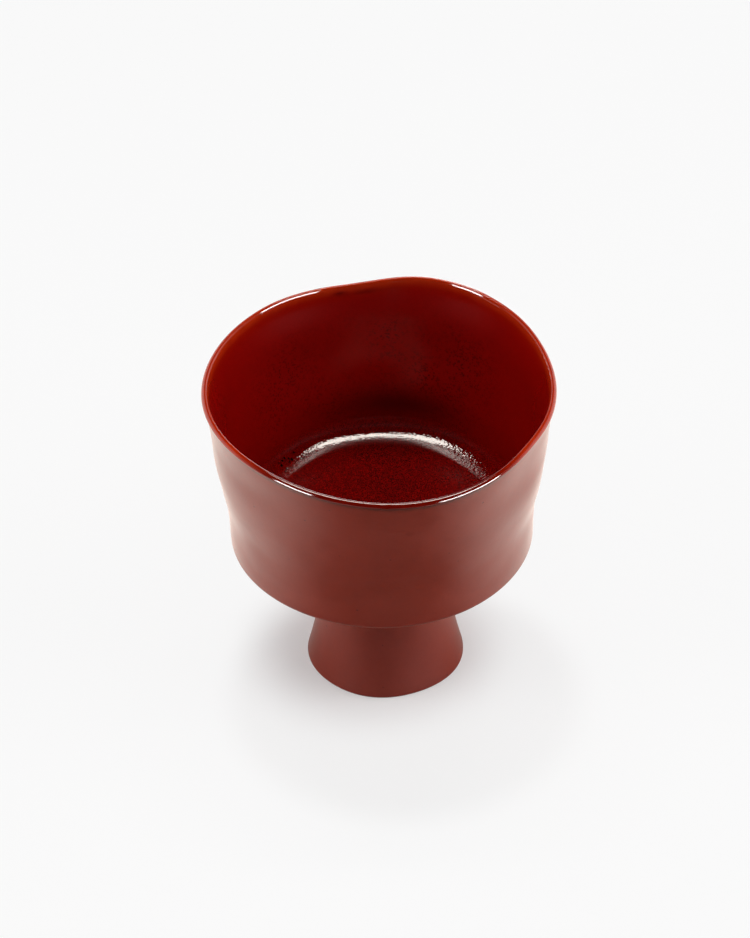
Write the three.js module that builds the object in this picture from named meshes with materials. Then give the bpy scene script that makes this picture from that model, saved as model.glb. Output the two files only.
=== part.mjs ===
// A footed bowl in hand-formed stoneware. A wide bowl with a flat underside is luted with slip to
// a hollow flared foot. Glossy glaze lines the inside and laps over the lip. The outside is left
// satin, and the ring that the pot stands on is bare clay.
import * as THREE from "three";

// Driving dimensions, in millimetres. The pot stands on Z = 0, and +Z is up.
const lipRadius = 90; // to the outside of the lip, on average
const lipHeight = 175.6;
const lipOuterRound = { across: 2.2, down: 2.6 }; // from the crest of the lip to its outer edge
const lipInnerRound = { across: 1.6, down: 4 }; // and to its inner edge
const turnRound = 4.3; // radius of the turn from the underside into the wall
const undersideHeight = 78.8;
const wallAtTurn = 4.8; // the clay wall thins from here
const wallAtLip = 2; // to here
const floorHeight = 89.2; // of the glazed floor inside
const floorCorner = 12; // radius of the corner between the floor and the wall
const glazeThickness = 0.6;
const glazeGap = 0.25; // clearance between the glaze coat and the clay it is fused to
const glazeLap = 1.9; // how far below the crest of the lip the glaze ends outside
const footBaseRadius = 41.4;
const footTopRadius = 31.7;
const footFlare = 2.2; // 1 is a straight cone, and more is upright at the top and open at the base
const footWallAtBase = 6.4;
const footWallAtTop = 5.2;
const footRingFlat = 3.4; // width of the flat ring that the pot stands on
const jointThickness = 1.2; // the slip between the foot and the underside of the bowl
const jointFillet = 3; // how far the slip is smoothed out along the underside

// The outside of the clay wall: its radius at some shares of the way up from the turn to the lip.
const wallShares = [0, 0.26, 0.42, 0.6, 0.8, 1];
const wallRadii = [76.9, 78.7, 81.5, 84.4, 86.4, 89.6];

// The bowl and its foot were centred on each other by eye, a millimetre apart.
const bowlAxis = new THREE.Vector2(0.8, 1);
const footAxis = new THREE.Vector2(1.9, 0.45);

// Hand forming leaves waves round the pot. Each has a number of lobes, a size in millimetres and
// the direction of a crest in degrees from +X towards +Y. A wave with a pitch also swells and
// sinks on its way up the wall, and is pressed into its middle only.
const lipInAndOut = [
  { lobes: 2, size: 0.7, at: 77 },
  { lobes: 3, size: 1.3, at: 46 },
  { lobes: 5, size: 0.3, at: -11 },
];
const lipUpAndDown = [
  { lobes: 1, size: 1.1, at: 100 },
  { lobes: 2, size: 1.1, at: 55 },
  { lobes: 3, size: 0.65, at: -43 },
  { lobes: 4, size: 0.7, at: -34 },
  { lobes: 5, size: 0.4, at: -15 },
];
const turnInAndOut = [
  { lobes: 2, size: 0.6, at: 4 },
  { lobes: 3, size: 0.4, at: -36 },
  { lobes: 4, size: 0.4, at: 5 },
];
const wallDents = [
  { lobes: 5, size: 0.3, at: 198, pitch: 58 },
  { lobes: 7, size: 0.2, at: 222, pitch: 41 },
];
const footInAndOut = [
  { lobes: 3, size: 0.4, at: -20 },
  { lobes: 5, size: 0.3, at: -27 },
];

// Pinches of the fingers in the lip. Each has a direction, a width in degrees, and how far it
// moves the lip outwards and upwards in its middle.
const lipPinches = [
  { at: 97, width: 9, out: -0.4, up: -0.5 },
  { at: 77, width: 9, out: 0.4, up: 0.5 },
  { at: 50, width: 12, out: -0.4, up: -0.4 },
  { at: 125, width: 12, out: 0.3, up: 0.3 },
  { at: -32, width: 12, out: -0.6, up: 0.4 },
];

// How finely the round shapes are divided.
const segmentsRound = 64;
const wallSteps = 8;
const cornerSteps = 6;
const lipSteps = 4;
const turnSteps = 4;
const footSteps = 7;
const filletSteps = 3;

const { clamp, degToRad, euclideanModulo, lerp, radToDeg } = THREE.MathUtils;

// Heights and radii that follow from the driving dimensions.
const turnTop = undersideHeight + turnRound;
const turnRadius = wallRadii[0];
const footTop = undersideHeight - jointThickness;
const clayDepth = glazeThickness + glazeGap;
const crestRadius = lipRadius - lipOuterRound.across;
const cornerTop = floorHeight + floorCorner;

// 0 at the turn and 1 at the lip.
const climb = (z) => clamp((z - turnTop) / (lipHeight - turnTop), 0, 1);

// Radius of the outside of the clay wall, and its thickness, at a height.
const wallCurve = new THREE.CubicInterpolant(wallShares, wallRadii, 1);
const wallOutside = (z) => wallCurve.evaluate(climb(z))[0];
const wallThickness = (z) => lerp(wallAtTurn, wallAtLip, climb(z));

// Radius of the glazed inside of the wall at a height, and how far it leans out over the
// millimetre below that height, as an angle in degrees.
const glazedInside = (z) => wallOutside(z) - wallThickness(z) - clayDepth;
const leanInside = (z) => radToDeg(Math.atan(glazedInside(z) - glazedInside(z - 1)));

// Radius of the outside of the foot at a height.
function footOutside(z) {
  const up = clamp(z / undersideHeight, 0, 1);
  return lerp(footBaseRadius, footTopRadius, 1 - (1 - up) ** footFlare);
}

// Radius of the inside of the hollow foot at a height.
const footInside = (z) => footOutside(z) - lerp(footWallAtBase, footWallAtTop, z / footTop);

const point = (radius, height) => new THREE.Vector2(radius, height);

// Points on a round or oval arc of a profile, from one angle to another in degrees.
function arc(centre, across, down, from, to, steps) {
  return Array.from({ length: steps + 1 }, (_, i) => {
    const angle = degToRad(lerp(from, to, i / steps));
    return point(centre.x + across * Math.cos(angle), centre.y + down * Math.sin(angle));
  });
}

// Points up a wall between two heights, both ends included.
function rise(radiusAt, from, to, steps) {
  return Array.from({ length: steps + 1 }, (_, i) => {
    const z = lerp(from, to, i / steps);
    return point(radiusAt(z), z);
  });
}

// The sum of some waves in a direction, in radians, at a height.
function waveSum(waves, direction, z) {
  return waves.reduce((sum, wave) => {
    const round = Math.cos(wave.lobes * (direction - degToRad(wave.at)));
    const up = wave.pitch ? Math.sin((2 * Math.PI * z) / wave.pitch) : 1;
    return sum + wave.size * round * up;
  }, 0);
}

// The sum of the pinches in a direction, in radians. The move is "out" or "up".
function pinchSum(direction, move) {
  return lipPinches.reduce((sum, pinch) => {
    const away = euclideanModulo(radToDeg(direction) - pinch.at + 180, 360) - 180;
    return sum + pinch[move] * Math.exp(-((away / pinch.width) ** 2));
  }, 0);
}

// The inside of the bowl, from the middle of its floor, up the wall, over the lip and down to the
// end of the glaze, at a depth below the surface of the glaze. The lip's inner oval starts where
// it leans out as far as the wall does.
function insideProfile(depth) {
  const cornerLean = leanInside(cornerTop);
  const corner = point(glazedInside(cornerTop) - floorCorner, cornerTop);
  const inner = point(crestRadius, lipHeight - lipInnerRound.down);
  const outer = point(crestRadius, lipHeight - lipOuterRound.down);
  const roundness = lipInnerRound.down / lipInnerRound.across;
  const innerStart = Math.atan(roundness * Math.tan(degToRad(leanInside(lipHeight))));
  const wallTop = inner.y + lipInnerRound.down * Math.sin(innerStart);
  const lapEnd = radToDeg(Math.asin(1 - glazeLap / lipOuterRound.down));
  const [innerAcross, innerDown] = [lipInnerRound.across - depth, lipInnerRound.down - depth];
  const [outerAcross, outerDown] = [lipOuterRound.across - depth, lipOuterRound.down - depth];
  return [
    point(0, floorHeight - depth),
    ...arc(corner, floorCorner + depth, floorCorner + depth, -90, -cornerLean, cornerSteps),
    ...rise((z) => glazedInside(z) + depth, cornerTop, wallTop, wallSteps).slice(1, -1),
    ...arc(inner, innerAcross, innerDown, 180 - radToDeg(innerStart), 90, lipSteps),
    ...arc(outer, outerAcross, outerDown, 90, lapEnd, lipSteps).slice(1),
  ];
}

// Turns a profile about the Z axis, as a pot is thrown.
function thrown(profile) {
  return new THREE.LatheGeometry(profile, segmentsRound).rotateX(Math.PI / 2);
}

// Moves each vertex of a thrown shape in or out and up or down, and then onto its own axis.
function handFormed(geometry, axis, inAndOut, upAndDown) {
  const position = geometry.attributes.position;
  for (let i = 0; i < position.count; i++) {
    const [x, y, z] = [position.getX(i), position.getY(i), position.getZ(i)];
    const place = { direction: Math.atan2(y, x), radius: Math.hypot(x, y), z };
    const stretch = place.radius > 0 ? 1 + inAndOut(place) / place.radius : 1;
    position.setXYZ(i, axis.x + x * stretch, axis.y + y * stretch, z + upAndDown(place));
  }
  return geometry;
}

const still = () => 0;

// 1 halfway, and 0 at both ends.
const fullestHalfway = (share) => 4 * share * (1 - share);

// The bowl's waves fade towards its middle, so that its floor and underside stay flat.
function bowlInAndOut({ direction, radius, z }) {
  const up = climb(z);
  const turn = waveSum(turnInAndOut, direction, z);
  const lip = waveSum(lipInAndOut, direction, z) + pinchSum(direction, "out");
  const dents = fullestHalfway(up) * waveSum(wallDents, direction, z);
  return (radius / wallOutside(z)) * (lerp(turn, lip, up) + dents);
}

function bowlUpAndDown({ direction, z }) {
  const up = clamp((z - cornerTop) / (lipHeight - cornerTop), 0, 1);
  return up * (waveSum(lipUpAndDown, direction, z) + pinchSum(direction, "up"));
}

function footWaves({ direction, z }) {
  const down = 1 - clamp(z / footTop, 0, 1);
  return down * waveSum(footInAndOut, direction, z);
}

// The clay bowl: flat underside, rounded turn, flared wall, and the bed of the glaze inside.
function bowlGeometry() {
  const turn = point(turnRadius - turnRound, turnTop);
  const profile = [
    point(0, undersideHeight),
    point(footTopRadius + jointFillet, undersideHeight),
    ...arc(turn, turnRound, turnRound, -90, 0, turnSteps),
    ...rise(wallOutside, turnTop, lipHeight - lipOuterRound.down, wallSteps).slice(1),
    ...insideProfile(clayDepth).reverse(),
  ];
  return handFormed(thrown(profile), bowlAxis, bowlInAndOut, bowlUpAndDown);
}

// The glaze coat: its bed against the clay, then its own glossy surface back to the middle.
function glazeGeometry() {
  const profile = [...insideProfile(glazeThickness), ...insideProfile(0).reverse()];
  return handFormed(thrown(profile), bowlAxis, bowlInAndOut, bowlUpAndDown);
}

// The foot: a flared tube, open below, with a flat ring between rounded edges to stand on.
function footGeometry() {
  const edge = (footWallAtBase - footRingFlat) / 2;
  const outerEdge = point(footOutside(edge) - edge, edge);
  const innerEdge = point(footInside(edge) + edge, edge);
  const profile = [
    ...arc(outerEdge, edge, edge, -90, 0, filletSteps),
    ...rise(footOutside, edge, footTop, footSteps).slice(1),
    ...rise(footInside, edge, footTop, footSteps).reverse(),
    ...arc(innerEdge, edge, edge, 180, 270, filletSteps).slice(1),
  ];
  profile.push(profile[0].clone());
  return handFormed(thrown(profile), footAxis, footWaves, still);
}

// The slip joint: a thin ring squeezed between foot and bowl, smoothed to a hollow fillet on both
// sides of the foot's wall.
function jointGeometry() {
  const outside = footOutside(footTop);
  const inside = footInside(footTop);
  const along = Array.from({ length: filletSteps + 1 }, (_, i) => (i / filletSteps) * (Math.PI / 2));
  const fillet = (angle) => jointFillet * (1 - Math.cos(angle));
  const height = (angle) => footTop + jointThickness * Math.sin(angle);
  const profile = [
    ...along.map((angle) => point(outside + fillet(angle), height(angle))),
    ...along.map((angle) => point(inside - fillet(angle), height(angle))).reverse(),
  ];
  profile.push(profile[0].clone());
  return handFormed(thrown(profile), footAxis, still, still);
}

// Satin iron-red surface of the outside.
function satinClay() {
  return new THREE.MeshStandardMaterial({ color: 0x6e2a22, roughness: 0.5, metalness: 0 });
}

// Slip of the same clay, a little darker where it gathers.
function jointSlip() {
  return new THREE.MeshStandardMaterial({ color: 0x5a231d, roughness: 0.55, metalness: 0 });
}

// Deep oxblood gloss of the inside and the lip.
function oxbloodGlaze() {
  return new THREE.MeshStandardMaterial({ color: 0x6e0d03, roughness: 0.12, metalness: 0 });
}

function piece(name, geometry, material) {
  const mesh = new THREE.Mesh(geometry, material);
  mesh.name = name;
  return mesh;
}

const pot = new THREE.Group();
pot.name = "footed_bowl";
pot.add(piece("foot", footGeometry(), satinClay()));
pot.add(piece("luting_ring", jointGeometry(), jointSlip()));
pot.add(piece("bowl", bowlGeometry(), satinClay()));
pot.add(piece("glaze_lining", glazeGeometry(), oxbloodGlaze()));

export default pot;
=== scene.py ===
import math

import bpy
from mathutils import Matrix, Vector, noise


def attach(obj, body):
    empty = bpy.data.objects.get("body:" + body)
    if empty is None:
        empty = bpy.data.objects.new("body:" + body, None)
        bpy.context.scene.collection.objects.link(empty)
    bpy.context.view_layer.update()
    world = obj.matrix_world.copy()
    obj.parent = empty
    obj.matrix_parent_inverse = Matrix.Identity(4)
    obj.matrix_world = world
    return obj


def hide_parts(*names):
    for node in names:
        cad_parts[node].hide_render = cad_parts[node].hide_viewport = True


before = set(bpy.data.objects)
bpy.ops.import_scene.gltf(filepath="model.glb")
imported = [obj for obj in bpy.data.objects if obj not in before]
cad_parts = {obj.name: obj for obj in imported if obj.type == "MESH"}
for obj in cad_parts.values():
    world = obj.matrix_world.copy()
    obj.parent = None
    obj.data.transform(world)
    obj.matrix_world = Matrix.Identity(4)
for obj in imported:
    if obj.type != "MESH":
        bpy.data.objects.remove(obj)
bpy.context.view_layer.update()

# The bowl: stoneware formed by hand over a round mould, then turned over and trimmed flat below.
# Its wall is thick at the turn and thin at the lip, and fingers have left shallow waves in it.
# The outside has a thin satin coat that soaks into the clay. Sizes are in millimetres.
MM = 0.001
ROUND_STEPS = 360
LIP_RADIUS = 90
LIP_HEIGHT = 175.6
LIP_OUTER_ROUND = (2.2, 2.6)
LIP_INNER_ROUND = (1.6, 4.0)
TURN_ROUND = 4.3
UNDERSIDE_HEIGHT = 78.8
WALL_STATIONS = [(0, 76.9), (0.26, 78.7), (0.42, 81.5), (0.6, 84.4), (0.8, 86.4), (1, 89.6)]
WALL_AT_TURN = 4.8
WALL_AT_LIP = 2.0
FLOOR_HEIGHT = 89.2
FLOOR_CORNER = 12
POOL_ROUND = 20
UPPER_ROUND = 8
POOL_SWEEP = 34
GLAZE_THICKNESS = 0.6
GLAZE_GAP = 0.05
GLAZE_LAP = 1.9
BOWL_AXIS = (0.8, 1.0)

# Waves left by hand forming: lobes round the pot, size, and the direction of a crest in degrees
# from +X towards +Y.
LIP_IN_AND_OUT = [(2, 0.7, 77), (3, 1.3, 46), (5, 0.3, -11)]
LIP_UP_AND_DOWN = [(1, 1.1, 100), (2, 1.1, 55), (3, 0.65, -43), (4, 0.7, -34), (5, 0.4, -15)]
TURN_IN_AND_OUT = [(2, 0.6, 4), (3, 0.4, -36), (4, 0.4, 5)]
# Pinches of two fingers in the lip: direction and width in degrees, and how far out and up.
LIP_PINCHES = [
    (97, 9, -0.4, -0.5),
    (77, 9, 0.4, 0.5),
    (50, 12, -0.4, -0.4),
    (125, 12, 0.3, 0.3),
    (-32, 12, -0.6, 0.4),
]
# Dents in the wall are waves too, each with its pitch up the wall.
WALL_DENTS = [(5, 0.3, 198, 58), (7, 0.2, 222, 41)]
FINGER_DEPTH = 0.32
FINGER_WIDTH = 30
FINGER_HEIGHT = 14

TURN_TOP = UNDERSIDE_HEIGHT + TURN_ROUND
TURN_RADIUS = WALL_STATIONS[0][1]
CORNER_TOP = FLOOR_HEIGHT + FLOOR_CORNER
CREST_RADIUS = LIP_RADIUS - LIP_OUTER_ROUND[0]
# The clay lies this far behind the glaze's surface, with the glaze and its clearance between.
CLAY_DEPTH = 0.85


def lerp(start, end, share):
    return start + (end - start) * share


def limit(value, low=0.0, high=1.0):
    return max(low, min(high, value))


def climb(z):
    """0 at the turn and 1 at the lip."""
    return limit((z - TURN_TOP) / (LIP_HEIGHT - TURN_TOP))


def through(stations, share):
    """A smooth curve through stations, each given as a share of the way up and a radius."""
    slopes = [(b[1] - a[1]) / (b[0] - a[0]) for a, b in zip(stations, stations[1:])]
    i = next((k for k in range(len(slopes)) if share < stations[k + 1][0]), len(slopes) - 1)
    (from_share, from_radius), (to_share, to_radius) = stations[i], stations[i + 1]
    before = (slopes[max(i - 1, 0)] + slopes[i]) / 2
    after = (slopes[i] + slopes[min(i + 1, len(slopes) - 1)]) / 2
    run = to_share - from_share
    t = (share - from_share) / run
    bend = (1 - t) * (before - slopes[i]) - t * (after - slopes[i])
    return lerp(from_radius, to_radius, t) + t * (1 - t) * run * bend


def wall_outside(z):
    return through(WALL_STATIONS, climb(z))


def wall_thickness(z):
    return lerp(WALL_AT_TURN, WALL_AT_LIP, climb(z))


def glazed_inside(z):
    return wall_outside(z) - wall_thickness(z) - CLAY_DEPTH


def lean_inside(z):
    """How far the inside of the wall leans out at a height, in degrees."""
    return math.degrees(math.atan(glazed_inside(z) - glazed_inside(z - 1)))


def wave_sum(waves, direction, z=0.0):
    total = 0.0
    for lobes, size, at, *pitch in waves:
        swell = math.sin(2 * math.pi * z / pitch[0]) if pitch else 1.0
        total += size * math.cos(lobes * (direction - math.radians(at))) * swell
    return total


def pinches(direction, part):
    """The sum of the pinches in the lip: part 2 is outwards and part 3 is upwards."""
    total = 0.0
    for pinch in LIP_PINCHES:
        away = (math.degrees(direction) - pinch[0] + 180) % 360 - 180
        total += pinch[part] * math.exp(-((away / pinch[1]) ** 2))
    return total


def finger_marks(direction, z):
    """Shallow presses of the fingers, wider than they are high, as a depth in millimetres."""
    around = LIP_RADIUS / FINGER_WIDTH
    place = Vector((around * math.cos(direction), around * math.sin(direction), z / FINGER_HEIGHT))
    return FINGER_DEPTH * (noise.noise(place) - 0.25)


def bowl_in_and_out(direction, radius, z):
    up = climb(z)
    lip = wave_sum(LIP_IN_AND_OUT, direction) + pinches(direction, 2)
    ends = lerp(wave_sum(TURN_IN_AND_OUT, direction), lip, up)
    middle = 4 * up * (1 - up)
    dents = middle * wave_sum(WALL_DENTS, direction, z)
    outside = limit((radius - wall_outside(z) + 3) / 3)
    marks = outside * limit(middle * 3) * finger_marks(direction, z)
    return radius / wall_outside(z) * (ends + dents) + marks


def bowl_up_and_down(direction, radius, z):
    up = limit((z - CORNER_TOP) / (LIP_HEIGHT - CORNER_TOP))
    return up * (wave_sum(LIP_UP_AND_DOWN, direction) + pinches(direction, 3))


def arc(centre, across, down, start, end, steps):
    """Points on a round or oval arc of a profile, between two angles in degrees."""
    angles = [math.radians(lerp(start, end, i / steps)) for i in range(steps + 1)]
    return [(centre[0] + across * math.cos(a), centre[1] + down * math.sin(a)) for a in angles]


def rise(radius_at, low, high, steps):
    """Points up a wall between two heights."""
    heights = [lerp(low, high, i / steps) for i in range(steps + 1)]
    return [(radius_at(z), z) for z in heights]


def level(start, end, height, steps):
    """Points along a level stretch of a profile."""
    return [(lerp(start, end, i / steps), height) for i in range(steps + 1)]


def inside_profile(depth):
    """From the middle of the floor, up the wall, over the lip and down to the end of the glaze."""
    wall_end = 90 - lean_inside(CORNER_TOP)
    sweep, turned = math.radians(POOL_SWEEP), math.radians(wall_end)
    step = POOL_ROUND - UPPER_ROUND
    upper_z = FLOOR_HEIGHT + POOL_ROUND - step * math.cos(sweep)
    wall_start = upper_z - UPPER_ROUND * math.cos(turned)
    upper = (glazed_inside(wall_start) - UPPER_ROUND * math.sin(turned), upper_z)
    pool = (upper[0] - step * math.sin(sweep), FLOOR_HEIGHT + POOL_ROUND)
    pool_round, upper_round = POOL_ROUND + depth, UPPER_ROUND + depth
    inner_across, inner_down = LIP_INNER_ROUND
    outer_across, outer_down = LIP_OUTER_ROUND
    inner = (CREST_RADIUS, LIP_HEIGHT - inner_down)
    outer = (CREST_RADIUS, LIP_HEIGHT - outer_down)
    wall_slope = math.tan(math.radians(lean_inside(LIP_HEIGHT)))
    inner_start = math.atan(wall_slope * inner_down / inner_across)
    inner_from = 180 - math.degrees(inner_start)
    wall_top = inner[1] + inner_down * math.sin(inner_start)
    lap_end = math.degrees(math.asin(1 - GLAZE_LAP / outer_down))
    return [
        *level(0, pool[0], FLOOR_HEIGHT - depth, 16)[:-1],
        *arc(pool, pool_round, pool_round, -90, POOL_SWEEP - 90, 20),
        *arc(upper, upper_round, upper_round, POOL_SWEEP - 90, wall_end - 90, 14)[1:],
        *rise(lambda z: glazed_inside(z) + depth, wall_start, wall_top, 54)[1:-1],
        *arc(inner, inner_across - depth, inner_down - depth, inner_from, 90, 14),
        *arc(outer, outer_across - depth, outer_down - depth, 90, lap_end, 12)[1:],
    ]


def thrown(name, profile, axis, in_and_out, up_and_down):
    """Turns a profile about the Z axis, forms it by hand and sets it on its own axis."""
    closed = profile[0][0] > 0
    vertices = []
    rings = []
    for radius, z in profile:
        if radius < 1e-6:
            rings.append([len(vertices)] * ROUND_STEPS)
            vertices.append((axis[0] * MM, axis[1] * MM, z * MM))
            continue
        rings.append(list(range(len(vertices), len(vertices) + ROUND_STEPS)))
        for i in range(ROUND_STEPS):
            direction = 2 * math.pi * i / ROUND_STEPS
            formed = radius + in_and_out(direction, radius, z)
            x = axis[0] + formed * math.cos(direction)
            y = axis[1] + formed * math.sin(direction)
            vertices.append((x * MM, y * MM, (z + up_and_down(direction, radius, z)) * MM))
    pairs = list(zip(rings, rings[1:]))
    if closed:
        pairs.append((rings[-1], rings[0]))
    faces = []
    for below, above in pairs:
        for i in range(ROUND_STEPS):
            j = (i + 1) % ROUND_STEPS
            corners = [below[i], below[j], above[j], above[i]]
            faces.append(list(dict.fromkeys(corners)))
    mesh = bpy.data.meshes.new(name)
    mesh.from_pydata(vertices, [], faces)
    mesh.shade_smooth()
    made = bpy.data.objects.new(name, mesh)
    bpy.context.scene.collection.objects.link(made)
    return made


def new_group(name, inputs, outputs):
    """A shader node group with named number inputs, and outputs given as name and socket type."""
    group = bpy.data.node_groups.new(name, "ShaderNodeTree")
    for label, value in inputs:
        socket = group.interface.new_socket(label, in_out="INPUT", socket_type="NodeSocketFloat")
        socket.default_value = value
    for label, kind in outputs:
        group.interface.new_socket(label, in_out="OUTPUT", socket_type=kind)
    return group, group.nodes.new("NodeGroupInput"), group.nodes.new("NodeGroupOutput")


def add_node(tree, kind, values=None, **settings):
    """A node with some of its properties and some of its socket values set."""
    made = tree.nodes.new(kind)
    for key, value in settings.items():
        setattr(made, key, value)
    for key, value in (values or {}).items():
        made.inputs[key].default_value = value
    return made


def math_node(tree, operation, first, second):
    """A Math node, each of whose inputs is a socket or a number."""
    made = add_node(tree, "ShaderNodeMath", operation=operation)
    for socket, value in zip(made.inputs, (first, second)):
        if isinstance(value, (int, float)):
            socket.default_value = value
        else:
            tree.links.new(value, socket)
    return made.outputs[0]


def cloud_group():
    """Soft clouds of tone, as where a coat went on thicker: a factor from 0 to 1."""
    group, given, out = new_group(
        "clouds", [("Scale", 40.0), ("Contrast", 1.0)], [("Factor", "NodeSocketFloat")]
    )
    where = add_node(group, "ShaderNodeTexCoord")
    cloud = add_node(group, "ShaderNodeTexNoise", {"Detail": 4.0, "Roughness": 0.55})
    group.links.new(where.outputs["Object"], cloud.inputs["Vector"])
    group.links.new(given.outputs["Scale"], cloud.inputs["Scale"])
    centred = math_node(group, "SUBTRACT", cloud.outputs["Fac"], 0.5)
    spread = math_node(group, "MULTIPLY", centred, given.outputs["Contrast"])
    shifted = math_node(group, "ADD", spread, 0.5)
    clamped = add_node(group, "ShaderNodeClamp")
    group.links.new(shifted, clamped.inputs["Value"])
    group.links.new(clamped.outputs["Result"], out.inputs["Factor"])
    return group


def speck_group():
    """Small round specks, one in some of the cells of a cell pattern: a mask from 0 to 1."""
    group, given, out = new_group(
        "specks",
        [("Scale", 150.0), ("Radius", 0.2), ("Share", 0.2)],
        [("Mask", "NodeSocketFloat")],
    )
    where = add_node(group, "ShaderNodeTexCoord")
    cells = add_node(group, "ShaderNodeTexVoronoi", feature="F1")
    group.links.new(where.outputs["Object"], cells.inputs["Vector"])
    group.links.new(given.outputs["Scale"], cells.inputs["Scale"])
    split = add_node(group, "ShaderNodeSeparateColor")
    group.links.new(cells.outputs["Color"], split.inputs["Color"])
    chosen = math_node(group, "LESS_THAN", split.outputs[0], given.outputs["Share"])
    grown = math_node(group, "MULTIPLY", split.outputs[1], given.outputs["Radius"])
    near = math_node(group, "SUBTRACT", grown, cells.outputs["Distance"])
    edge = math_node(group, "MULTIPLY", near, 12.0)
    clamped = add_node(group, "ShaderNodeClamp")
    group.links.new(edge, clamped.inputs["Value"])
    mask = math_node(group, "MULTIPLY", clamped.outputs["Result"], chosen)
    group.links.new(mask, out.inputs["Mask"])
    return group


def skin_group():
    """The fine unevenness of a fired surface: slow ripples and a tight grain, as a height."""
    group, given, out = new_group(
        "fired_skin",
        [("Ripple Scale", 120.0), ("Grain Scale", 900.0), ("Grain Share", 0.4)],
        [("Height", "NodeSocketFloat")],
    )
    where = add_node(group, "ShaderNodeTexCoord")
    ripple = add_node(group, "ShaderNodeTexNoise", {"Detail": 2.0, "Roughness": 0.5})
    grain = add_node(group, "ShaderNodeTexNoise", {"Detail": 2.0, "Roughness": 0.6})
    for noise_node, scale in ((ripple, "Ripple Scale"), (grain, "Grain Scale")):
        group.links.new(where.outputs["Object"], noise_node.inputs["Vector"])
        group.links.new(given.outputs[scale], noise_node.inputs["Scale"])
    small = math_node(group, "MULTIPLY", grain.outputs["Fac"], given.outputs["Grain Share"])
    height = math_node(group, "ADD", ripple.outputs["Fac"], small)
    group.links.new(height, out.inputs["Height"])
    return group


CLOUDS = cloud_group()
SPECKS = speck_group()
FIRED_SKIN = skin_group()


def place_group(tree, group, **values):
    made = add_node(tree, "ShaderNodeGroup", node_tree=group)
    for key, value in values.items():
        made.inputs[key.replace("_", " ")].default_value = value
    return made


def new_material(name):
    made = bpy.data.materials.new(name)
    made.use_nodes = True
    return made, made.node_tree, made.node_tree.nodes["Principled BSDF"]


def mix_colour(tree, share, first, second):
    """A colour mix, whose share and colours are each a socket or a value."""
    made = add_node(tree, "ShaderNodeMix", data_type="RGBA")
    sockets = (made.inputs[0], made.inputs[6], made.inputs[7])
    for socket, value in zip(sockets, (share, first, second)):
        if isinstance(value, bpy.types.NodeSocket):
            tree.links.new(value, socket)
        elif isinstance(value, tuple):
            socket.default_value = (*value, 1.0)
        else:
            socket.default_value = value
    return made.outputs[2]


def map_range(tree, value, low, high):
    """Spreads a factor from 0 to 1 over a range."""
    made = add_node(tree, "ShaderNodeMapRange", {"To Min": low, "To Max": high})
    tree.links.new(value, made.inputs["Value"])
    return made.outputs["Result"]


def set_bump(tree, shader, height, strength, distance):
    """Raises a height in metres on the shader's normal."""
    bump = add_node(tree, "ShaderNodeBump", {"Strength": strength, "Distance": distance})
    tree.links.new(height, bump.inputs["Height"])
    tree.links.new(bump.outputs["Normal"], shader.inputs["Normal"])


# The brown that the glaze leaves in the clay along its edge, outside the lip; stronger at the front,
# where it is also painted shade under the lip.
EDGE_STAIN_AND_SHADE = (0.075, 0.026, 0.016)


def satin_coat(name, deep, warm, speck):
    """Satin iron-red coat on clay: cloudy tone, dark specks, a fine grain, and the glaze's brown edge
    stain, which is also painted shade under the front of the lip.
    """
    made, tree, shader = new_material(name)
    clouds = place_group(tree, CLOUDS, Scale=28.0, Contrast=1.4)
    fine = place_group(tree, CLOUDS, Scale=420.0, Contrast=1.6)
    tone = mix_colour(tree, clouds.outputs["Factor"], deep, warm)
    grained = mix_colour(tree, map_range(tree, fine.outputs["Factor"], 0.0, 0.22), tone, speck)
    specks = place_group(tree, SPECKS, Scale=240.0, Radius=0.2, Share=0.12)
    spotted = mix_colour(tree, specks.outputs["Mask"], grained, speck)
    under = add_node(tree, "ShaderNodeAttribute", attribute_name="glaze_edge_stain_and_shade")
    stained_and_shaded = mix_colour(tree, under.outputs["Fac"], spotted, EDGE_STAIN_AND_SHADE)
    tree.links.new(stained_and_shaded, shader.inputs["Base Color"])
    rough = map_range(tree, clouds.outputs["Factor"], 0.27, 0.33)
    tree.links.new(rough, shader.inputs["Roughness"])
    skin = place_group(tree, FIRED_SKIN, Ripple_Scale=70.0, Grain_Scale=1100.0, Grain_Share=0.1)
    shallow = math_node(tree, "MULTIPLY", specks.outputs["Mask"], 0.3)
    pitted = math_node(tree, "SUBTRACT", skin.outputs["Height"], shallow)
    set_bump(tree, shader, pitted, 0.25, 0.0004)
    shader.inputs["Specular IOR Level"].default_value = 0.5
    return made


turn_centre = (TURN_RADIUS - TURN_ROUND, TURN_TOP)
clay_lip = LIP_HEIGHT - LIP_OUTER_ROUND[1]
bowl_profile = [
    *level(0, turn_centre[0], UNDERSIDE_HEIGHT, 24),
    *arc(turn_centre, TURN_ROUND, TURN_ROUND, -90, 0, 12)[1:],
    *rise(wall_outside, TURN_TOP, clay_lip, 90)[1:],
    *reversed(inside_profile(GLAZE_THICKNESS + GLAZE_GAP)),
]
bowl = thrown("clay_bowl", bowl_profile, BOWL_AXIS, bowl_in_and_out, bowl_up_and_down)


def below_lip(vertex):
    """A vertex of the bowl or its glaze: its direction, and how far below the lip's crest it is."""
    direction = math.atan2(vertex.co.y / MM - BOWL_AXIS[1], vertex.co.x / MM - BOWL_AXIS[0])
    crest = LIP_HEIGHT + wave_sum(LIP_UP_AND_DOWN, direction) + pinches(direction, 3)
    return direction, crest - vertex.co.z / MM


def smooth(value):
    kept = limit(value)
    return kept * kept * (3 - 2 * kept)


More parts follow.
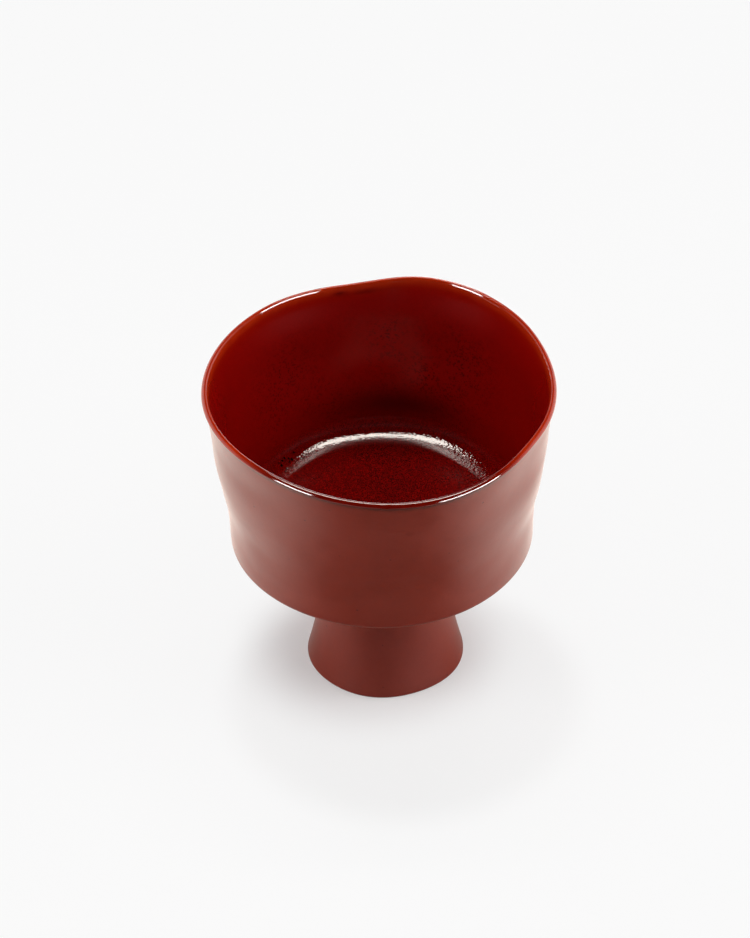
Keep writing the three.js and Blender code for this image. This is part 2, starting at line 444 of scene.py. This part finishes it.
glaze_edge_stain_and_shade = bowl.data.attributes.new("glaze_edge_stain_and_shade", "FLOAT", "POINT")
for vertex, value in zip(bowl.data.vertices, glaze_edge_stain_and_shade.data):
    direction, below = below_lip(vertex)
    in_front = smooth(-math.sin(direction) * 2 - 0.4)
    # Weak at the sides, where it is the glaze's edge stain, and strong at the front, where it adds
    # painted shade under the lip.
    value.value = smooth((5.4 - below) / 3.2) * lerp(0.25, 0.8, in_front)

SPECK_TONE = (0.14, 0.011, 0.006)
bowl_tones = ((0.245, 0.0245, 0.0097), (0.3, 0.0305, 0.0125))
bowl.data.materials.append(satin_coat("satin_iron_red", *bowl_tones, SPECK_TONE))
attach(bowl, "root")
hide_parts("bowl")

# The foot: a hollow flared tube thrown apart from the bowl, open below. Its edges are rounded with a
# wet sponge, and it stands on a flat ring.
FOOT_BASE_RADIUS = 41.4
FOOT_TOP_RADIUS = 31.7
FOOT_FLARE = 2.2
FOOT_WALL_AT_BASE = 6.4
FOOT_WALL_AT_TOP = 5.2
FOOT_RING_FLAT = 3.4
JOINT_THICKNESS = 1.2
FOOT_TOP = UNDERSIDE_HEIGHT - JOINT_THICKNESS
FOOT_AXIS = (1.9, 0.45)
FOOT_IN_AND_OUT = [(3, 0.4, -20), (5, 0.3, -27)]


def foot_outside(z):
    up = limit(z / UNDERSIDE_HEIGHT)
    return lerp(FOOT_BASE_RADIUS, FOOT_TOP_RADIUS, 1 - (1 - up) ** FOOT_FLARE)


def foot_inside(z):
    return foot_outside(z) - lerp(FOOT_WALL_AT_BASE, FOOT_WALL_AT_TOP, z / FOOT_TOP)


def foot_in_and_out(direction, radius, z):
    down = 1 - limit(z / FOOT_TOP)
    return down * wave_sum(FOOT_IN_AND_OUT, direction)


def stay(direction, radius, z):
    return 0.0


foot_edge = (FOOT_WALL_AT_BASE - FOOT_RING_FLAT) / 2
outer_edge = (foot_outside(foot_edge) - foot_edge, foot_edge)
inner_edge = (foot_inside(foot_edge) + foot_edge, foot_edge)
foot_profile = [
    *arc(outer_edge, foot_edge, foot_edge, -90, 0, 8),
    *rise(foot_outside, foot_edge, FOOT_TOP, 60)[1:],
    *reversed(rise(foot_inside, foot_edge, FOOT_TOP, 60)),
    *arc(inner_edge, foot_edge, foot_edge, 180, 270, 8)[1:],
]
foot = thrown("clay_foot", foot_profile, FOOT_AXIS, foot_in_and_out, stay)
foot_tones = ((0.245, 0.0235, 0.0092), (0.3, 0.029, 0.0118))
foot.data.materials.append(satin_coat("satin_iron_red_foot", *foot_tones, SPECK_TONE))
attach(foot, "root")
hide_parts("foot")

# The slip joint: wet clay slip squeezed out between foot and bowl, and smoothed with a finger
# to a small hollow fillet outside and inside the foot's wall.
JOINT_FILLET = 3.0
joint_angles = [math.pi / 2 * i / 10 for i in range(11)]


def fillet(wall, side):
    """From the foot's wall up and out to the bowl's underside; side is 1 outside and -1 inside."""
    return [
        (wall + side * JOINT_FILLET * (1 - math.cos(a)), FOOT_TOP + JOINT_THICKNESS * math.sin(a))
        for a in joint_angles
    ]


joint_profile = [*fillet(foot_outside(FOOT_TOP), 1), *reversed(fillet(foot_inside(FOOT_TOP), -1))]
joint = thrown("slip_joint", joint_profile, FOOT_AXIS, stay, stay)
slip_tones = ((0.2, 0.019, 0.0085), (0.25, 0.024, 0.0105))
joint.data.materials.append(satin_coat("satin_slip", *slip_tones, (0.13, 0.01, 0.005)))
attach(joint, "root")
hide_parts("luting_ring")

# The glaze: a glossy oxblood glaze poured round the inside and over the lip. It is mottled where it
# lies thick, most on the floor, and breaks to orange-red on the lip, where it ran thin; that orange
# is painted lighter at the sides of the lip, where light falls, than at its front. Painted shade
# darkens the lower back wall above the floor and the front of the lip. It is beaded and has a few
# pits in the floor's corner.
lining_profile = [*inside_profile(GLAZE_THICKNESS), *reversed(inside_profile(0))]
lining = thrown("oxblood_lining", lining_profile, BOWL_AXIS, bowl_in_and_out, bowl_up_and_down)
# The side of the back wall where painted shade darkens the glaze above the floor, in degrees.
PAINTED_SHADE_DIRECTION = 82
# Dark spots under the lip: direction and width in degrees, and how far down and how high.
DARK_SPOTS = [(104, 2.5, 3.8, 1.3), (95, 5, 4.4, 1.0)]
# What the glaze is like at each point: run thin on the lip (its orange painted lighter at the lip's
# sides, where light falls), dotted up the back, on the floor, darkened by the pool mark (painted
# shade low on the back wall and on the front of the lip, and the dark spots under the lip), beaded in
# the floor's corner, pitted there, or glassy.
marks = {name: [] for name in ("thin", "dotted", "on_floor", "pool", "corner", "pitted", "glassy")}
for vertex in lining.data.vertices:
    direction, below = below_lip(vertex)
    degrees = math.degrees(direction)
    above_floor = vertex.co.z / MM - FLOOR_HEIGHT
    in_front = smooth((-math.sin(direction) - 0.5) / 0.35)
    crest = smooth(1.35 - below / 4.4)
    fade = 0.6 * limit(1 - below / 11) ** 2
    dark_spot = sum(
        math.exp(-(((degrees - at) / wide) ** 2) - ((below - low) / tall) ** 2)
        for at, wide, low, tall in DARK_SPOTS
    )
    clean = 1 - 0.85 * limit(dark_spot)
    # The thin glaze's orange is held back at the front of the lip and kept at its sides: painted
    # light where the lamps reach the lip.
    marks["thin"].append(max(crest, fade) * lerp(1, 0.12, in_front) * clean)
    around_back = smooth((66 - abs(degrees - 92)) / 34)
    marks["dotted"].append(around_back * smooth((below - 10) / 24))
    marks["on_floor"].append(smooth(1.3 - above_floor / 9))
    # The pool mark is painted shade on the lower back wall above the floor, where the lip keeps the
    # lamps' light off, and on the front of the lip; it also holds the dark spots under the lip.
    from_shade_side = (degrees - PAINTED_SHADE_DIRECTION + 180) % 360 - 180
    around_shade_side = math.exp(-((from_shade_side / 29) ** 2))
    pool = around_shade_side * math.exp(-(((above_floor - 16) / 11) ** 2))
    front_lip_shade = 0.85 * in_front * smooth((5 - below) / 2)
    marks["pool"].append(max(pool, 0.8 * limit(dark_spot), front_lip_shade))
    low_wall = smooth((4.6 - above_floor) / 1.4)
    in_corner = limit(above_floor / 0.3) * low_wall
    coarse = smooth((62 - degrees) / 18) * smooth((degrees + 20) / 30)
    marks["corner"].append(in_corner * lerp(1, 2.4, coarse))
    pit_band = smooth((1.7 - abs(above_floor - 2.1)) / 0.6)
    marks["pitted"].append(pit_band * smooth((9 - abs(degrees - 137)) / 3))
    glassy_corner = low_wall * lerp(-1.2, 1, smooth((above_floor - 0.1) / 0.9))
    glassy_wall = max(glassy_corner, smooth((9 - below) / 4))
    marks["glassy"].append(glassy_wall if above_floor > 0.02 else 0.3)
for name, values in marks.items():
    mark = lining.data.attributes.new(name, "FLOAT", "POINT")
    mark.data.foreach_set("value", values)


def bead_group():
    """The peel of a thick glaze: small round beads side by side, as a height."""
    group, given, out = new_group("beads", [("Scale", 700.0)], [("Height", "NodeSocketFloat")])
    where = add_node(group, "ShaderNodeTexCoord")
    cells = add_node(group, "ShaderNodeTexVoronoi", feature="F1")
    group.links.new(where.outputs["Object"], cells.inputs["Vector"])
    group.links.new(given.outputs["Scale"], cells.inputs["Scale"])
    group.links.new(cells.outputs["Distance"], out.inputs["Height"])
    return group


BEADS = bead_group()


GLAZE_REDS = ((0.29, 0.0014, 0.0004), (0.335, 0.0018, 0.0005))
GLAZE_DARKS = ((0.06, 0.0004, 0.0002), (0.09, 0.0006, 0.0003))
SHADE_AND_SPOT_TONE = (0.05, 0.0004, 0.0002)
DOT_TONE = (0.08, 0.0006, 0.0003)
THIN_AND_LIT_TONE = (0.46, 0.024, 0.003)
PIT_TONE = (0.004, 0.0004, 0.0002)


def oxblood_glaze(name):
    """Glossy dark red glaze: mottled, dotted, thin on the lip, and pitted, with painted shade on the
    lower back wall and the front of the lip, and dark spots under the lip.
    """
    made, tree, shader = new_material(name)
    mark = {
        key: add_node(tree, "ShaderNodeAttribute", attribute_name=key).outputs["Fac"] for key in marks
    }
    mottle = place_group(tree, CLOUDS, Scale=1900.0, Contrast=5.0)
    patches = place_group(tree, CLOUDS, Scale=22.0, Contrast=2.0)
    red = mix_colour(tree, patches.outputs["Factor"], *GLAZE_REDS)
    dark = mix_colour(tree, patches.outputs["Factor"], *GLAZE_DARKS)
    held = math_node(tree, "SUBTRACT", 1.0, mottle.outputs["Factor"])
    more_on_floor = math_node(tree, "MULTIPLY", mark["on_floor"], 1.1)
    share = math_node(tree, "MULTIPLY", held, math_node(tree, "ADD", more_on_floor, 0.3))
    body = mix_colour(tree, share, red, dark)
    # Painted shade from the pool mark, with the dark spots, darkens the glaze here.
    shaded_and_spotted = mix_colour(tree, math_node(tree, "MULTIPLY", mark["pool"], 0.85), body, SHADE_AND_SPOT_TONE)
    dots = place_group(tree, SPECKS, Scale=950.0, Radius=0.8, Share=0.7)
    sparse = place_group(tree, CLOUDS, Scale=35.0, Contrast=2.2)
    scattered = math_node(tree, "MULTIPLY", dots.outputs["Mask"], sparse.outputs["Factor"])
    dotted = math_node(tree, "MULTIPLY", scattered, mark["dotted"])
    speckled = mix_colour(tree, dotted, shaded_and_spotted, DOT_TONE)
    streaks = place_group(tree, CLOUDS, Scale=160.0, Contrast=2.0)
    uneven = map_range(tree, streaks.outputs["Factor"], 0.75, 1.2)
    # The lip's orange: thin glaze, painted lighter at the sides where light falls.
    thin_and_lit_share = math_node(tree, "MULTIPLY", mark["thin"], uneven)
    lipped = mix_colour(tree, thin_and_lit_share, speckled, THIN_AND_LIT_TONE)
    pits = place_group(tree, SPECKS, Scale=600.0, Radius=0.75, Share=0.7)
    pitting = math_node(tree, "MULTIPLY", pits.outputs["Mask"], mark["pitted"])
    pitted = mix_colour(tree, pitting, lipped, PIT_TONE)
    tree.links.new(pitted, shader.inputs["Base Color"])
    even = map_range(tree, mottle.outputs["Factor"], 0.15, 0.17)
    rough = math_node(tree, "SUBTRACT", even, math_node(tree, "MULTIPLY", mark["glassy"], 0.12))
    tree.links.new(rough, shader.inputs["Roughness"])
    skin = place_group(tree, FIRED_SKIN, Ripple_Scale=180.0, Grain_Scale=1500.0, Grain_Share=0.35)
    skin_height = math_node(tree, "MULTIPLY", skin.outputs["Height"], 0.25)
    beads = place_group(tree, BEADS, Scale=700.0)
    beaded = math_node(tree, "MULTIPLY", beads.outputs["Height"], mark["corner"])
    peel = math_node(tree, "ADD", skin_height, math_node(tree, "MULTIPLY", beaded, 0.55))
    set_bump(tree, shader, peel, 0.5, 0.0002)
    shader.inputs["IOR"].default_value = 1.58
    return made


lining.data.materials.append(oxblood_glaze("oxblood_gloss"))
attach(lining, "root")
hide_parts("glaze_lining")

# The floor: a wide sheet of white paper. It keeps the pot's shadow, and is lifted to the pale even
# tone of a studio sweep where the camera looks at it, less so round the foot and in the pot's shadow,
# which paints that shadow deeper. In reflections it is a painted reflection of paper lit by the side
# panels.
PAPER_TONE = 0.939
PAPER_SEEN = 0.968
# Centres of the painted shadow zones: where the pot's shadow lies and where the foot touches, in
# millimetres.
SHADOW_CENTRE = (12, -39)
CONTACT_CENTRE = (-6, 0.45)
# How bright the paper beside the pot is in reflections, where the side panels light it.
PAPER_BESIDE = 1.44
REFLECTED_TONE = (1.0, 0.97, 0.88)
paper_mesh = bpy.data.meshes.new("paper_floor")
paper_corners = [(-6, -6, 0), (6, -6, 0), (6, 6, 0), (-6, 6, 0)]
paper_mesh.from_pydata(paper_corners, [], [(0, 1, 2, 3)])
paper = bpy.data.objects.new("paper_floor", paper_mesh)
bpy.context.scene.collection.objects.link(paper)


def spread_over(tree, value, span, values=(0.0, 1.0), kind="LINEAR"):
    """Runs a value from one number to another over a span of another measure."""
    ends = {"From Min": span[0], "From Max": span[1], "To Min": values[0], "To Max": values[1]}
    made = add_node(tree, "ShaderNodeMapRange", ends, interpolation_type=kind)
    tree.links.new(value, made.inputs["Value"])
    return made.outputs["Result"]


def paper_zone(tree, where, centre, radii, values):
    """A value that runs smoothly from one to another between two circles on the paper."""
    away = add_node(tree, "ShaderNodeVectorMath", operation="DISTANCE")
    tree.links.new(where.outputs["Object"], away.inputs[0])
    away.inputs[1].default_value = (centre[0] * MM, centre[1] * MM, 0)
    near, far = (radius * MM for radius in radii)
    return spread_over(tree, away.outputs["Value"], (near, far), values, "SMOOTHSTEP")


def white_paper():
    """White paper that takes the pot's shadow, lifted where the camera looks, with painted shadow
    zones, and a painted reflection of lit paper for glossy rays.
    """
    made, tree, shader = new_material("white_paper")
    shader.inputs["Base Color"].default_value = (PAPER_TONE, PAPER_TONE, PAPER_TONE, 1.0)
    shader.inputs["Roughness"].default_value = 0.9
    shader.inputs["Specular IOR Level"].default_value = 0.0
    where = add_node(tree, "ShaderNodeTexCoord")
    split = add_node(tree, "ShaderNodeSeparateXYZ")
    tree.links.new(where.outputs["Object"], split.inputs["Vector"])
    # For glossy rays the paper is a painted reflection: an emission that is dark in front and bright
    # behind and beside the pot, where the panels light it, with painted shade near the foot.
    behind = spread_over(tree, split.outputs["Y"], (-0.1, 0.1), (0.05, 2.4))
    off_centre = math_node(tree, "ABSOLUTE", split.outputs["X"], 0)
    aside = spread_over(tree, off_centre, (0.07, 0.22), kind="SMOOTHSTEP")
    panel_lit = add_node(tree, "ShaderNodeMix")
    tree.links.new(aside, panel_lit.inputs[0])
    tree.links.new(behind, panel_lit.inputs[2])
    panel_lit.inputs[3].default_value = PAPER_BESIDE
    reflected = add_node(tree, "ShaderNodeEmission", {"Color": (*REFLECTED_TONE, 1.0)})
    painted_foot_shade = paper_zone(tree, where, FOOT_AXIS, (50, 150), (0.25, 1.0))
    mirrored = math_node(tree, "MULTIPLY", panel_lit.outputs[0], painted_foot_shade)
    tree.links.new(mirrored, reflected.inputs["Strength"])
    seen_tone = (PAPER_SEEN, PAPER_SEEN, PAPER_SEEN, 1.0)
    lifted = add_node(tree, "ShaderNodeEmission", {"Color": seen_tone})
    # Less lift round the foot and in the pot's shadow in front: painted shadow that deepens the real
    # one.
    painted_contact_shadow = paper_zone(tree, where, CONTACT_CENTRE, (36, 80), (0.5, 0.89))
    painted_front_shadow = paper_zone(tree, where, SHADOW_CENTRE, (78, 104), (-0.17, 0))
    ray = add_node(tree, "ShaderNodeLightPath")
    lift = math_node(tree, "ADD", painted_contact_shadow, painted_front_shadow)
    share = math_node(tree, "MULTIPLY", ray.outputs["Is Camera Ray"], lift)
    seen = add_node(tree, "ShaderNodeMixShader")
    tree.links.new(share, seen.inputs["Fac"])
    tree.links.new(shader.outputs["BSDF"], seen.inputs[1])
    tree.links.new(lifted.outputs["Emission"], seen.inputs[2])
    both = add_node(tree, "ShaderNodeMixShader")
    tree.links.new(ray.outputs["Is Glossy Ray"], both.inputs["Fac"])
    tree.links.new(seen.outputs["Shader"], both.inputs[1])
    tree.links.new(reflected.outputs["Emission"], both.inputs[2])
    tree.links.new(both.outputs["Shader"], tree.nodes["Material Output"].inputs["Surface"])
    return made


paper_mesh.materials.append(white_paper())

# The light: two low soft panels beside the pot, keys above them, and a bank of soft light
# overhead. Each lamp stands at its distance from the pot, at an azimuth from the viewer's side
# and a height in degrees, and faces the pot. Its size is in metres and its power in watts.
LAMP_AIM = Vector((0.0, 0.0, 0.12))
LAMP_DISTANCE = 2.6
LAMPS = [
    ("side_panel_left", -90, 10, (1.1, 1.1), 21.1),
    ("side_panel_right", 90, 10, (1.1, 1.1), 19.5),
    ("side_panel_back_right", 115, 10, (1.1, 1.1), 6.5),
    ("key_left", -65, 33, (1.1, 1.1), 9.7),
    ("key_left_side", -90, 33, (1.1, 1.1), 2.3),
    ("key_left_high", -65, 57, (1.3, 1.3), 1.6),
    ("key_left_front", -35, 57, (1.3, 1.3), 3.2),
    ("key_left_back", -145, 57, (1.3, 1.3), 3.4),
    ("key_right", 65, 33, (1.1, 1.1), 9.3),
    ("key_right_side", 90, 33, (1.1, 1.1), 9.1),
    ("key_right_high", 65, 57, (1.3, 1.3), 4.5),
    ("overhead_back", 180, 68, (1.9, 0.25), 19.7),
    ("overhead_front", 0, 68, (1.3, 1.3), 11.2),
]

# Faces of the same lights that only reflections see. They make the bright arc on the corner of
# the bowl's floor and the streaks on the lip. The bank overhead is a little warmer.
SHINES = [
    ("overhead_bank", 184, 78.2, (2.1, 0.64), 72, (1.0, 0.95, 0.87)),
    ("right_box_shine", 56, 15, (1.8, 0.8), 118),
    ("left_box_shine", -54, 15, (0.9, 0.8), 59),
    ("back_strip_shine", 176, 15, (0.62, 1.1), 14),
]


def stand_lamp(name, azimuth, height, size, power, colour=(1.0, 1.0, 1.0)):
    around, above = math.radians(azimuth), math.radians(height)
    level_run = math.cos(above)
    towards = Vector((math.sin(around) * level_run, -math.cos(around) * level_run, math.sin(above)))
    lamp = bpy.data.lights.new(name, "AREA")
    lamp.shape = "RECTANGLE"
    lamp.size, lamp.size_y = size
    lamp.energy = power
    lamp.color = colour
    stand = bpy.data.objects.new(name, lamp)
    stand.location = LAMP_AIM + towards * LAMP_DISTANCE
    stand.rotation_euler = (-towards).to_track_quat("-Z", "Y").to_euler()
    bpy.context.scene.collection.objects.link(stand)
    return stand


for entry in LAMPS:
    stand = stand_lamp(*entry)
    stand.visible_glossy = False
for entry in SHINES:
    stand = stand_lamp(*entry)
    stand.visible_diffuse = False

# The room: nearly dark, but for the pale wall behind the pot that low reflections see.
ROOM_LIGHT = 0.005
room = bpy.data.worlds.new("studio_room")
bpy.context.scene.world = room
room.use_nodes = True
backdrop = room.node_tree.nodes["Background"]
backdrop.inputs["Color"].default_value = (1.0, 1.0, 1.0, 1.0)
sky = add_node(room.node_tree, "ShaderNodeTexCoord")
sky_split = add_node(room.node_tree, "ShaderNodeSeparateXYZ")
room.node_tree.links.new(sky.outputs["Generated"], sky_split.inputs["Vector"])
low = spread_over(room.node_tree, sky_split.outputs["Z"], (0.4, 0.52), (1.0, 0.0), "SMOOTHSTEP")
behind_pot = spread_over(room.node_tree, sky_split.outputs["Y"], (-0.3, 0.3))
room_ray = add_node(room.node_tree, "ShaderNodeLightPath")
wall_seen = math_node(room.node_tree, "MULTIPLY", low, behind_pot)
wall_shine = math_node(room.node_tree, "MULTIPLY", wall_seen, room_ray.outputs["Is Glossy Ray"])
room_level = math_node(room.node_tree, "ADD", wall_shine, ROOM_LIGHT)
room.node_tree.links.new(room_level, backdrop.inputs["Strength"])

# The camera: above and in front, looking down into the bowl with a long lens.
PICTURE_HEIGHT = 938
FOCAL_PIXELS = 3922.3
LOOK_DOWN = math.radians(39.775)
TILT = math.radians(-0.714)
CAMERA_DISTANCE = 2.0
CAMERA_AIM = Vector((-2.485, 0.85, 121.665)) * MM

back = Vector((0, -math.cos(LOOK_DOWN), math.sin(LOOK_DOWN)))
level_up = Vector((0, math.sin(LOOK_DOWN), math.cos(LOOK_DOWN)))
level_right = Vector((1, 0, 0))
right = math.cos(TILT) * level_right + math.sin(TILT) * level_up
up = math.cos(TILT) * level_up - math.sin(TILT) * level_right
camera_data = bpy.data.cameras.new("photo_camera")
camera_data.sensor_width = 36
camera_data.lens = FOCAL_PIXELS * camera_data.sensor_width / PICTURE_HEIGHT
camera_data.clip_end = 50
camera = bpy.data.objects.new("photo_camera", camera_data)
turned_to_pot = Matrix((right, up, back)).transposed().to_4x4()
camera.matrix_world = Matrix.Translation(CAMERA_AIM + back * CAMERA_DISTANCE) @ turned_to_pot
bpy.context.scene.collection.objects.link(camera)
bpy.context.scene.camera = camera
bpy.context.scene.view_settings.view_transform = "Standard"
